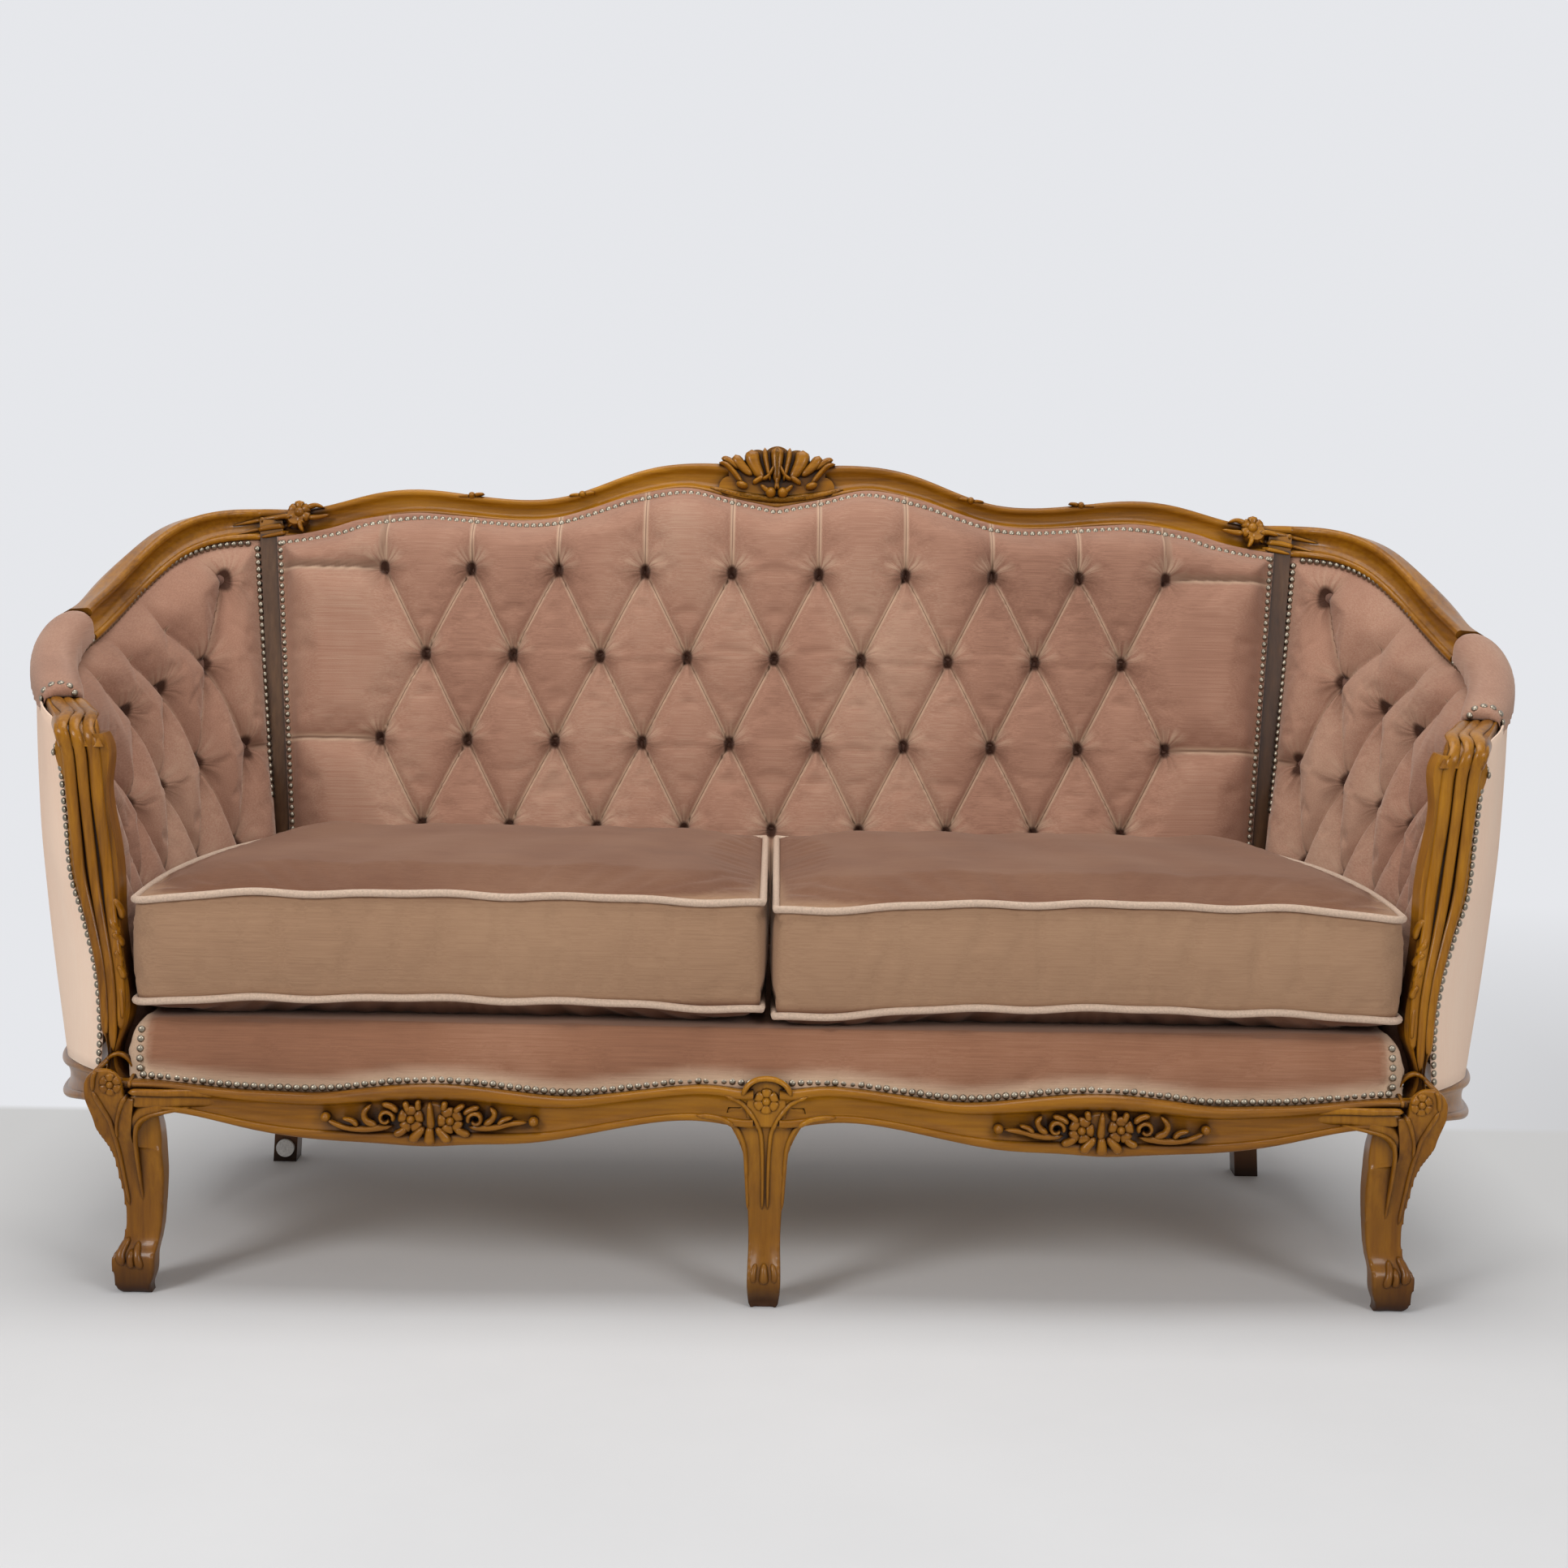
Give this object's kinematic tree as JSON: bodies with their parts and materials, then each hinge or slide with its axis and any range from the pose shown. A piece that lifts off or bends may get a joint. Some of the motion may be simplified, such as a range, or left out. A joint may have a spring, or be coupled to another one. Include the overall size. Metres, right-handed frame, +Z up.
{
  "type": "rococo sofa",
  "caption": "Carved-frame rococo sofa with buttoned back and wings, padded arms and loose box cushions that lift off a sprung platform.",
  "frame": {"origin": "on the floor under the middle of the sofa's bounding box", "axes": "+X to the right seen from the front, +Y to the rear (the sofa faces -Y), +Z up"},
  "size_m": [1.794, 0.7709, 0.9742],
  "materials": {
    "show_wood": "gloss lacquer",
    "frame_wood": "raw",
    "velour": "short-pile velour",
    "piping": "velour cord",
    "button_velour": "velour",
    "outer_velour": "flat velour",
    "webbing": "woven jute",
    "screw_steel": "zinc plated",
    "white_plastic": "satin"
  },
  "bodies": {
    "frame": {"crest_rail": "show_wood", "front_leg_centre": "show_wood", "wing_rail_left": "show_wood", "wing_rail_right": "show_wood", "arm_rail_left": "show_wood", "arm_rail_right": "show_wood", "arm_support_left": "show_wood", "arm_support_right": "show_wood", "front_leg_left": "show_wood", "front_leg_right": "show_wood", "rear_post_left": "show_wood", "rear_post_right": "show_wood", "front_rail_left": "show_wood", "front_rail_right": "show_wood", "side_rail_left": "show_wood", "side_rail_right": "show_wood", "rear_seat_rail": "frame_wood", "lower_back_rail": "frame_wood", "seat_brace": "frame_wood", "front_corner_block_left": "frame_wood", "front_corner_block_right": "frame_wood", "rear_corner_block_left": "frame_wood", "rear_corner_block_right": "frame_wood", "frame_dowels": "frame_wood", "back_pad": "velour", "wing_pad_left": "velour", "wing_pad_right": "velour", "arm_pad_left": "velour", "arm_pad_right": "velour", "seat_platform": "velour", "back_buttons": "button_velour", "wing_buttons_left": "button_velour", "wing_buttons_right": "button_velour", "outside_wing_cover_left": "outer_velour", "outside_wing_cover_right": "outer_velour", "outside_back_cover": "outer_velour", "seat_webbing": "webbing", "back_webbing": "webbing", "corner_screws": "screw_steel", "foot_cap": "white_plastic"},
    "cushion_left": {"cushion_left": "velour", "cushion_piping_left": "piping"},
    "cushion_right": {"cushion_right": "velour", "cushion_piping_right": "piping"}
  },
  "joints": [
    {"name": "cushion_left_lift", "type": "slide", "parent": "frame", "child": "cushion_left", "axis": [0, 0, 1], "range_m": [0, 0.2]},
    {"name": "cushion_right_lift", "type": "slide", "parent": "frame", "child": "cushion_right", "axis": [0, 0, 1], "range_m": [0, 0.2]}
  ]
}
